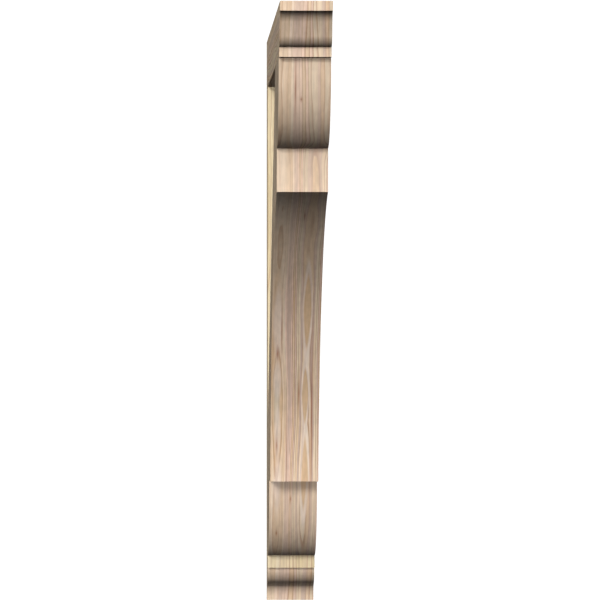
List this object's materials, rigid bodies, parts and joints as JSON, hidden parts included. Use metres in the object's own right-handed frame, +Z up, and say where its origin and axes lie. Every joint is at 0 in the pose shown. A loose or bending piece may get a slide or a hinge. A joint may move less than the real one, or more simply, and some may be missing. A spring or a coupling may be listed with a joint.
{
  "type": "timber bracket",
  "caption": "Timber corbel bracket: horizontal top arm, upright wall leg and a scroll-cut curved brace with an open triangle behind it.",
  "frame": {"origin": "centre of the wall leg's back face at half the bracket's height, on the wall plane", "axes": "+Z up, +Y into the wall, so the bracket reaches out along -Y, +X across its width"},
  "size_m": [0.0888, 1.0668, 1.0668],
  "materials": {
    "arm_wood": "bare, planed smooth",
    "leg_wood": "bare, planed smooth",
    "brace_wood": "bare, planed smooth"
  },
  "bodies": {
    "root": {"top_arm": "arm_wood", "wall_leg": "leg_wood", "brace": "brace_wood"}
  },
  "joints": []
}
